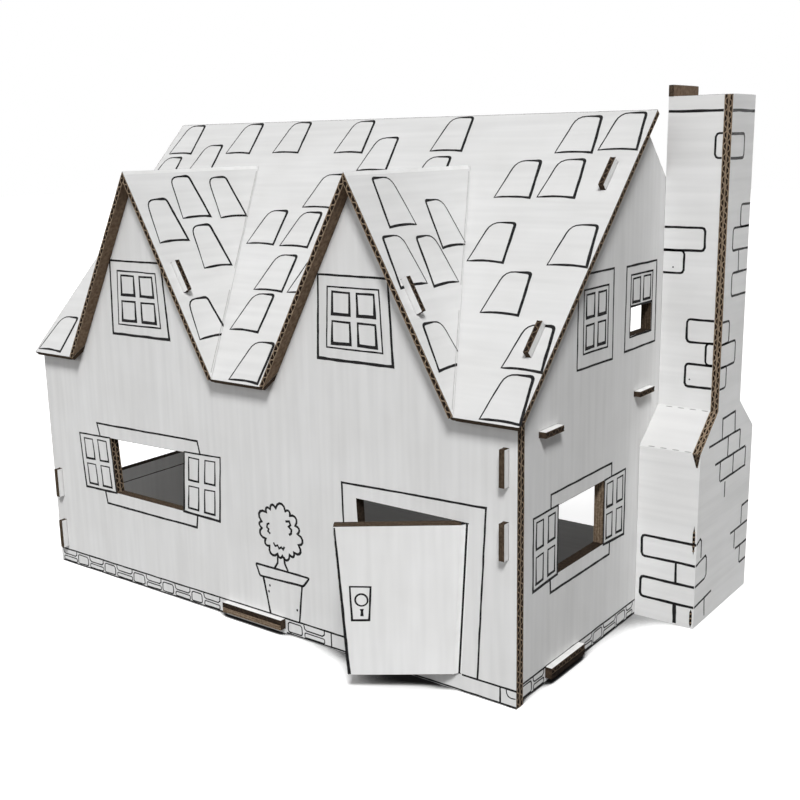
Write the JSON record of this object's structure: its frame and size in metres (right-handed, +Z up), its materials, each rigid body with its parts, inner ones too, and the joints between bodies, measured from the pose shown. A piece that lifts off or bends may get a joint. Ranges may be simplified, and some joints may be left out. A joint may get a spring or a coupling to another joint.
{
  "type": "cardboard playhouse",
  "caption": "Slot-together corrugated card playhouse, open at the back, with pointed dormers on a slanted roof, cut-out windows, an attic floor, a hinged front door and a side chimney.",
  "frame": {"origin": "Middle of the front wall's underside, half way through the board, on the ground", "axes": "+X along the front wall towards the chimney, +Y from the front wall back into the house, +Z up"},
  "size_m": [0.4627, 0.3245, 0.3525],
  "materials": {
    "white_board": "matt white-lined corrugated board with brown cut edges and black line print"
  },
  "bodies": {
    "house": {"floor_panel": "white_board", "attic_floor": "white_board", "front_wall": "white_board", "left_gable": "white_board", "right_gable": "white_board", "main_roof": "white_board", "dormer_roof_left": "white_board", "dormer_roof_right": "white_board", "chimney": "white_board"},
    "door": {"door": "white_board"}
  },
  "joints": [
    {"name": "door_hinge", "type": "hinge", "parent": "house", "child": "door", "pos_m": [0.17084, 0.0035, 0.0117], "axis": [0.0645, 0, 0.9979], "range_deg": [-34.3, 55.7]}
  ]
}
